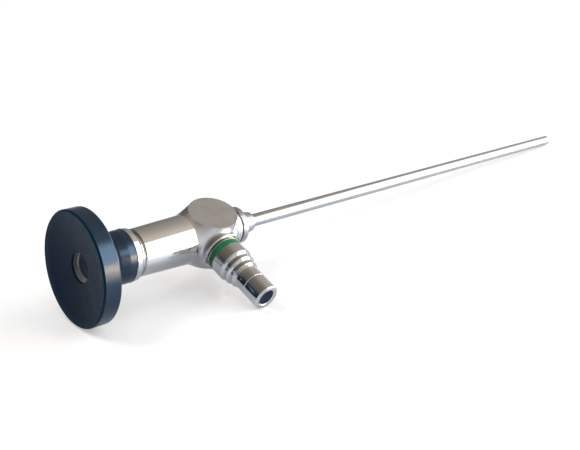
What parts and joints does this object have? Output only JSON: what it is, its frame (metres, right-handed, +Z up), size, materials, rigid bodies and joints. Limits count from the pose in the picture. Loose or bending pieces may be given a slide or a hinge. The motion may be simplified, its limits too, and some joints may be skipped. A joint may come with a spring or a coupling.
{
  "type": "rigid endoscope",
  "caption": "Slender straight viewing telescope with a round black eyecup, a round-topped metal body, a stepped side post for a light cable and a long thin shaft.",
  "frame": {"origin": "on the floor, under the middle of the bounding box of the resting part", "axes": "+Z up from the floor, +X along the shaft toward its tip as seen from above, +Y to the side away from the light post"},
  "size_m": [0.235, 0.0458, 0.0322],
  "materials": {
    "black_plastic": "fine matt black with a soft sheen",
    "polished_steel": "mirror polished stainless steel",
    "satin_steel": "blasted satin stainless steel",
    "shaft_steel": "finely ground stainless steel tube",
    "frame_steel": "turned stainless steel",
    "inner_steel": "turned stainless steel",
    "blackened_metal": "black anodised against stray light",
    "brass": "turned brass",
    "window_glass": "coated sapphire",
    "lens_glass": "polished optical glass",
    "seal_rubber": "smooth dark rubber",
    "green_plastic": "satin green plastic",
    "light_glass": "polished face of fused fibres",
    "fibre": "bonded glass fibres"
  },
  "bodies": {
    "root": {"eyecup": "black_plastic", "window_frame": "frame_steel", "eyepiece_window": "window_glass", "window_retainer": "inner_steel", "neck_ring": "polished_steel", "neck_seal": "seal_rubber", "ocular_barrel": "polished_steel", "barrel_seal": "seal_rubber", "tube_lock_ring": "inner_steel", "ocular_tube": "blackened_metal", "lens_retainer": "blackened_metal", "ocular_crown_lens": "lens_glass", "ocular_flint_lens": "lens_glass", "lens_spacer": "blackened_metal", "field_stop": "blackened_metal", "tube_carrier": "brass", "body_block": "satin_steel", "post_collar": "polished_steel", "post_washer": "polished_steel", "colour_ring": "green_plastic", "light_post": "polished_steel", "light_nipple": "polished_steel", "guide_ferrule": "polished_steel", "light_cone": "light_glass", "fibre_bundle": "fibre", "shaft_ferrule": "satin_steel", "outer_tube": "shaft_steel", "lens_tube": "inner_steel", "rod_lenses": "lens_glass", "rod_spacers": "blackened_metal", "objective_rear_lens": "lens_glass", "objective_middle_lens": "lens_glass", "objective_front_lens": "lens_glass", "objective_spacers": "blackened_metal", "tip_window": "window_glass"}
  },
  "joints": []
}
